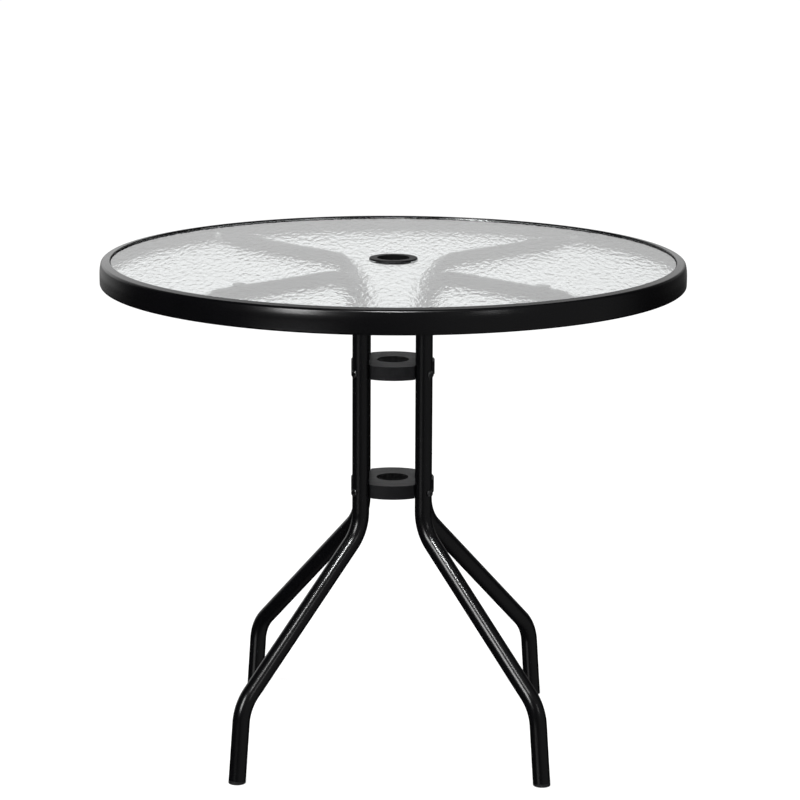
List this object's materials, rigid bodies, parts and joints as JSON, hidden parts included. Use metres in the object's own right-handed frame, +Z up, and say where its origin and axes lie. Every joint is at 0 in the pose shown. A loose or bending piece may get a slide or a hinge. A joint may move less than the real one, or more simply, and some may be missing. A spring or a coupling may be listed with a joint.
{
  "type": "umbrella table",
  "caption": "Round patio table with a steel rim, a textured drop-in glass top, bent-tube legs and collars for an umbrella pole.",
  "frame": {"origin": "on the floor under the centre of the table top", "axes": "+Z up, -Y towards the pictured front, +X to the right seen from the front"},
  "size_m": [0.8, 0.8, 0.684],
  "materials": {
    "powder_coated_steel": "black satin powder coat, lightly textured",
    "textured_glass": "clear tempered glass, smooth above and pebbled below",
    "collar_plastic": "dark grey moulded plastic, fine matt grain",
    "plug_plastic": "black polyethylene, slightly scuffed sole",
    "pad_rubber": "black rubber",
    "zinc_steel": "zinc-plated steel",
    "black_screw_steel": "black-oxide steel, worn bright in the recess"
  },
  "bodies": {
    "root": {"rim_ring": "powder_coated_steel", "glass_ledge_ring": "powder_coated_steel", "glass_top": "textured_glass", "pole_hole_ring": "collar_plastic", "upper_collar": "collar_plastic", "lower_collar": "collar_plastic", "leg_tube_front_left": "powder_coated_steel", "leg_tube_front_right": "powder_coated_steel", "leg_tube_back_right": "powder_coated_steel", "leg_tube_back_left": "powder_coated_steel", "foot_plug_front_left": "plug_plastic", "foot_plug_front_right": "plug_plastic", "foot_plug_back_right": "plug_plastic", "foot_plug_back_left": "plug_plastic", "glass_pad_front_left": "pad_rubber", "glass_pad_front_right": "pad_rubber", "glass_pad_back_right": "pad_rubber", "glass_pad_back_left": "pad_rubber", "rim_bracket_front_left": "powder_coated_steel", "rim_bracket_front_right": "powder_coated_steel", "rim_bracket_back_right": "powder_coated_steel", "rim_bracket_back_left": "powder_coated_steel", "arm_bolt_front_left": "zinc_steel", "arm_bolt_front_right": "zinc_steel", "arm_bolt_back_right": "zinc_steel", "arm_bolt_back_left": "zinc_steel", "arm_washer_front_left": "zinc_steel", "arm_washer_front_right": "zinc_steel", "arm_washer_back_right": "zinc_steel", "arm_washer_back_left": "zinc_steel", "arm_nut_front_left": "zinc_steel", "arm_nut_front_right": "zinc_steel", "arm_nut_back_right": "zinc_steel", "arm_nut_back_left": "zinc_steel", "upper_collar_screw_front_left": "black_screw_steel", "upper_collar_screw_front_right": "black_screw_steel", "upper_collar_screw_back_right": "black_screw_steel", "upper_collar_screw_back_left": "black_screw_steel", "lower_collar_screw_front_left": "black_screw_steel", "lower_collar_screw_front_right": "black_screw_steel", "lower_collar_screw_back_right": "black_screw_steel", "lower_collar_screw_back_left": "black_screw_steel"}
  },
  "joints": []
}
